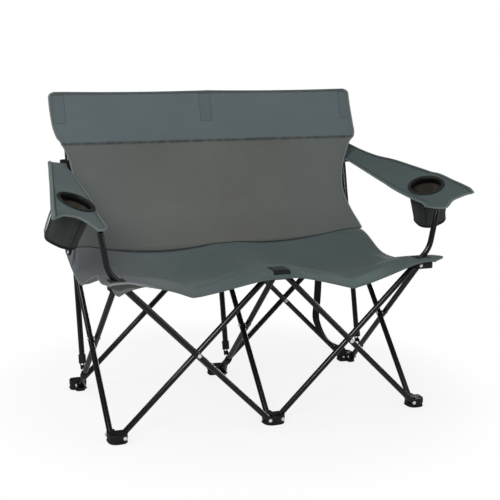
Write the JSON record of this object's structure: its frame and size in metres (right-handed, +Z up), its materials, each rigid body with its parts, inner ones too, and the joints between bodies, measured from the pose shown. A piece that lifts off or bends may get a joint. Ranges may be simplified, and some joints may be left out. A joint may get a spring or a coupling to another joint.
{
  "type": "folding camping loveseat",
  "caption": "Folding camping loveseat: a steel-tube scissor frame under a slung cloth seat, with a cloth back on straight posts and cloth arm rests that each hold a cup",
  "frame": {"origin": "on the floor, under the middle of the whole loveseat", "axes": "+X is the sitter's left-hand side, +Y points to the back, +Z is up; left and right in the node names are as seen from the front"},
  "size_m": [1.372, 0.725, 0.964],
  "materials": {
    "steel": "gloss black powder coat",
    "plastic": "moulded black plastic",
    "rivet": "bright plated",
    "seat_cloth": "grey woven cloth",
    "back_cloth": "grey woven cloth",
    "arm_cloth": "grey woven cloth",
    "pouch_cloth": "dark grey woven cloth",
    "patch": "black coated cloth",
    "webbing": "black webbing"
  },
  "bodies": {
    "foot_front_middle": {"foot_front_middle": "plastic"},
    "arm_leg_left": {"arm_leg_left": "steel", "rivet_front_left": "rivet"},
    "arm_leg_right": {"arm_leg_right": "steel", "rivet_front_right": "rivet"},
    "front_leg_left": {"front_leg_left": "steel"},
    "front_leg_right": {"front_leg_right": "steel"},
    "foot_front_left": {"foot_front_left": "plastic"},
    "foot_front_right": {"foot_front_right": "plastic"},
    "hub_front_left": {"hub_front_left": "plastic", "seat_patch_left": "patch"},
    "hub_front_middle": {"hub_front_middle": "plastic", "seat_patch_middle": "patch"},
    "hub_front_right": {"hub_front_right": "plastic", "seat_patch_right": "patch"},
    "side_fore_left": {"side_leg_fore_left": "steel", "rivet_side_left": "rivet"},
    "side_fore_middle": {"side_leg_fore_middle": "steel", "rivet_side_middle": "rivet"},
    "side_fore_right": {"side_leg_fore_right": "steel", "rivet_side_right": "rivet"},
    "side_aft_left": {"side_leg_aft_left": "steel", "post_collar_left": "plastic"},
    "side_aft_middle": {"side_leg_aft_middle": "steel", "post_collar_middle": "plastic"},
    "side_aft_right": {"side_leg_aft_right": "steel", "post_collar_right": "plastic"},
    "foot_back_left": {"foot_back_left": "plastic"},
    "foot_back_middle": {"foot_back_middle": "plastic"},
    "foot_back_right": {"foot_back_right": "plastic", "carry_strap": "webbing"},
    "hub_back_left": {"hub_back_left": "plastic"},
    "hub_back_middle": {"hub_back_middle": "plastic"},
    "hub_back_right": {"hub_back_right": "plastic"},
    "back_left_inner": {"back_leg_left_inner": "steel", "rivet_back_left": "rivet"},
    "back_left_outer": {"back_leg_left_outer": "steel"},
    "back_right_inner": {"back_leg_right_inner": "steel", "rivet_back_right": "rivet"},
    "back_right_outer": {"back_leg_right_outer": "steel"},
    "post_left": {"post_left": "steel", "post_cup_left": "plastic", "arm_rear_left": "arm_cloth"},
    "post_middle": {"post_middle": "steel", "post_cup_middle": "plastic", "back_panel": "back_cloth"},
    "post_right": {"post_right": "steel", "post_cup_right": "plastic", "arm_rear_right": "arm_cloth"},
    "arm_left": {"arm_front_left": "arm_cloth", "cup_ring_left": "plastic", "cup_pouch_left": "pouch_cloth"},
    "arm_right": {"arm_front_right": "arm_cloth", "cup_ring_right": "plastic", "cup_pouch_right": "pouch_cloth"},
    "seat_front": {"seat_front": "seat_cloth"},
    "seat_back": {"seat_back": "seat_cloth"}
  },
  "joints": [
    {"name": "fold", "type": "hinge", "parent": "foot_front_middle", "child": "arm_leg_left", "pos_m": [-0.021, -0.33954, 0.017], "axis": [0, 1, 0], "range_deg": [0, 40], "deforming": ["seat_front", "seat_back", "back_panel", "arm_front_left", "arm_front_right", "arm_rear_left", "arm_rear_right", "seat_patch_left", "seat_patch_middle", "seat_patch_right", "carry_strap"]},
    {"name": "arm_leg_right_foot", "type": "hinge", "parent": "foot_front_middle", "child": "arm_leg_right", "pos_m": [0.021, -0.31955, 0.017], "axis": [0, 1, 0], "range_deg": [-40, 0]},
    {"name": "side_fore_middle_foot", "type": "hinge", "parent": "foot_front_middle", "child": "side_fore_middle", "pos_m": [-0.01, -0.30005, 0.017], "axis": [1, 0, 0], "range_deg": [0, 40]},
    {"name": "front_left_cross", "type": "hinge", "parent": "arm_leg_left", "child": "front_leg_left", "pos_m": [-0.25, -0.32954, 0.24325], "axis": [0, 1, 0], "range_deg": [-80, 0]},
    {"name": "front_right_cross", "type": "hinge", "parent": "arm_leg_right", "child": "front_leg_right", "pos_m": [0.25, -0.32954, 0.24325], "axis": [0, 1, 0], "range_deg": [0, 80]},
    {"name": "side_middle_cross", "type": "hinge", "parent": "side_fore_middle", "child": "side_aft_middle", "pos_m": [0, -0.07104, 0.24325], "axis": [1, 0, 0], "range_deg": [-80, 0]},
    {"name": "foot_front_left_pin", "type": "hinge", "parent": "front_leg_left", "child": "foot_front_left", "pos_m": [-0.479, -0.31955, 0.017], "axis": [0, 1, 0], "range_deg": [0, 40]},
    {"name": "foot_front_right_pin", "type": "hinge", "parent": "front_leg_right", "child": "foot_front_right", "pos_m": [0.479, -0.33954, 0.017], "axis": [0, 1, 0], "range_deg": [-40, 0]},
    {"name": "hub_front_left_pin", "type": "hinge", "parent": "arm_leg_left", "child": "hub_front_left", "pos_m": [-0.479, -0.33954, 0.4695], "axis": [0, 1, 0], "range_deg": [-40, 0]},
    {"name": "hub_front_right_pin", "type": "hinge", "parent": "arm_leg_right", "child": "hub_front_right", "pos_m": [0.479, -0.31955, 0.4695], "axis": [0, 1, 0], "range_deg": [0, 40]},
    {"name": "hub_front_middle_pin", "type": "hinge", "parent": "front_leg_left", "child": "hub_front_middle", "pos_m": [-0.021, -0.31955, 0.4695], "axis": [0, 1, 0], "range_deg": [0, 40]},
    {"name": "hub_back_middle_pin", "type": "hinge", "parent": "side_fore_middle", "child": "hub_back_middle", "pos_m": [-0.01, 0.15796, 0.4695], "axis": [1, 0, 0], "range_deg": [-40, 0]},
    {"name": "foot_back_middle_pin", "type": "hinge", "parent": "side_aft_middle", "child": "foot_back_middle", "pos_m": [0.01, 0.15796, 0.017], "axis": [1, 0, 0], "range_deg": [0, 40]},
    {"name": "side_fore_left_foot", "type": "hinge", "parent": "foot_front_left", "child": "side_fore_left", "pos_m": [-0.51, -0.30005, 0.017], "axis": [1, 0, 0], "range_deg": [0, 40]},
    {"name": "side_left_cross", "type": "hinge", "parent": "side_fore_left", "child": "side_aft_left", "pos_m": [-0.5, -0.07104, 0.24325], "axis": [1, 0, 0], "range_deg": [-80, 0]},
    {"name": "hub_back_left_pin", "type": "hinge", "parent": "side_fore_left", "child": "hub_back_left", "pos_m": [-0.51, 0.15796, 0.4695], "axis": [1, 0, 0], "range_deg": [-40, 0]},
    {"name": "foot_back_left_pin", "type": "hinge", "parent": "side_aft_left", "child": "foot_back_left", "pos_m": [-0.49, 0.15796, 0.017], "axis": [1, 0, 0], "range_deg": [0, 40]},
    {"name": "side_fore_right_foot", "type": "hinge", "parent": "foot_front_right", "child": "side_fore_right", "pos_m": [0.49, -0.30005, 0.017], "axis": [1, 0, 0], "range_deg": [0, 40]},
    {"name": "side_right_cross", "type": "hinge", "parent": "side_fore_right", "child": "side_aft_right", "pos_m": [0.5, -0.07104, 0.24325], "axis": [1, 0, 0], "range_deg": [-80, 0]},
    {"name": "hub_back_right_pin", "type": "hinge", "parent": "side_fore_right", "child": "hub_back_right", "pos_m": [0.49, 0.15796, 0.4695], "axis": [1, 0, 0], "range_deg": [-40, 0]},
    {"name": "foot_back_right_pin", "type": "hinge", "parent": "side_aft_right", "child": "foot_back_right", "pos_m": [0.51, 0.15796, 0.017], "axis": [1, 0, 0], "range_deg": [0, 40]},
    {"name": "back_left_inner_foot", "type": "hinge", "parent": "foot_back_middle", "child": "back_left_inner", "pos_m": [-0.021, 0.17746, 0.017], "axis": [0, 1, 0], "range_deg": [0, 40]},
    {"name": "back_left_cross", "type": "hinge", "parent": "back_left_inner", "child": "back_left_outer", "pos_m": [-0.25, 0.18746, 0.24325], "axis": [0, 1, 0], "range_deg": [-80, 0]},
    {"name": "back_right_inner_foot", "type": "hinge", "parent": "foot_back_middle", "child": "back_right_inner", "pos_m": [0.021, 0.19745, 0.017], "axis": [0, 1, 0], "range_deg": [-40, 0]},
    {"name": "back_right_cross", "type": "hinge", "parent": "back_right_inner", "child": "back_right_outer", "pos_m": [0.25, 0.18746, 0.24325], "axis": [0, 1, 0], "range_deg": [0, 80]},
    {"name": "post_left_pivot", "type": "hinge", "parent": "side_aft_left", "child": "post_left", "pos_m": [-0.49, 0.12103, 0.09003], "axis": [1, 0, 0], "range_deg": [0, 50.3]},
    {"name": "post_middle_pivot", "type": "hinge", "parent": "side_aft_middle", "child": "post_middle", "pos_m": [0.01, 0.12103, 0.09003], "axis": [1, 0, 0], "range_deg": [0, 50.3]},
    {"name": "post_right_pivot", "type": "hinge", "parent": "side_aft_right", "child": "post_right", "pos_m": [0.51, 0.12103, 0.09003], "axis": [1, 0, 0], "range_deg": [0, 50.3]},
    {"name": "arm_left_tilt", "type": "hinge", "parent": "post_left", "child": "arm_left", "pos_m": [-0.8323, 0.11432, 0.41596], "axis": [-0.6658, -0.1356, 0.7337], "range_deg": [0, 54.2]},
    {"name": "arm_right_tilt", "type": "hinge", "parent": "post_right", "child": "arm_right", "pos_m": [0.83923, 0.11842, 0.46416], "axis": [-0.6135, 0.1532, -0.7747], "range_deg": [0, 56.7]},
    {"name": "seat_front_drop", "type": "hinge", "parent": "hub_front_middle", "child": "seat_front", "pos_m": [0, -0.32954, 0.486], "axis": [1, 0, 0], "range_deg": [-76.7, 0]},
    {"name": "seat_back_drop", "type": "hinge", "parent": "seat_front", "child": "seat_back", "pos_m": [0, -0.07104, 0.45], "axis": [1, 0, 0], "range_deg": [0, 153.4]}
  ],
  "couplings": [
    {"joint": "arm_leg_right_foot", "follows": "fold", "ratio": -1},
    {"joint": "side_fore_middle_foot", "follows": "fold", "ratio": 1},
    {"joint": "front_left_cross", "follows": "fold", "ratio": -2},
    {"joint": "front_right_cross", "follows": "fold", "ratio": 2},
    {"joint": "side_middle_cross", "follows": "fold", "ratio": -2},
    {"joint": "foot_front_left_pin", "follows": "fold", "ratio": 1},
    {"joint": "foot_front_right_pin", "follows": "fold", "ratio": -1},
    {"joint": "hub_front_left_pin", "follows": "fold", "ratio": -1},
    {"joint": "hub_front_right_pin", "follows": "fold", "ratio": 1},
    {"joint": "hub_front_middle_pin", "follows": "fold", "ratio": 1},
    {"joint": "hub_back_middle_pin", "follows": "fold", "ratio": -1},
    {"joint": "foot_back_middle_pin", "follows": "fold", "ratio": 1},
    {"joint": "side_fore_left_foot", "follows": "fold", "ratio": 1},
    {"joint": "side_left_cross", "follows": "fold", "ratio": -2},
    {"joint": "hub_back_left_pin", "follows": "fold", "ratio": -1},
    {"joint": "foot_back_left_pin", "follows": "fold", "ratio": 1},
    {"joint": "side_fore_right_foot", "follows": "fold", "ratio": 1},
    {"joint": "side_right_cross", "follows": "fold", "ratio": -2},
    {"joint": "hub_back_right_pin", "follows": "fold", "ratio": -1},
    {"joint": "foot_back_right_pin", "follows": "fold", "ratio": 1},
    {"joint": "back_left_inner_foot", "follows": "fold", "ratio": 1},
    {"joint": "back_left_cross", "follows": "fold", "ratio": -2},
    {"joint": "back_right_inner_foot", "follows": "fold", "ratio": -1},
    {"joint": "back_right_cross", "follows": "fold", "ratio": 2},
    {"joint": "post_left_pivot", "follows": "fold", "ratio": 1.2564},
    {"joint": "post_middle_pivot", "follows": "fold", "ratio": 1.2564},
    {"joint": "post_right_pivot", "follows": "fold", "ratio": 1.2564},
    {"joint": "arm_left_tilt", "follows": "fold", "ratio": 1.3545},
    {"joint": "arm_right_tilt", "follows": "fold", "ratio": 1.417},
    {"joint": "seat_front_drop", "follows": "fold", "ratio": -1.9174},
    {"joint": "seat_back_drop", "follows": "fold", "ratio": 3.8347}
  ]
}
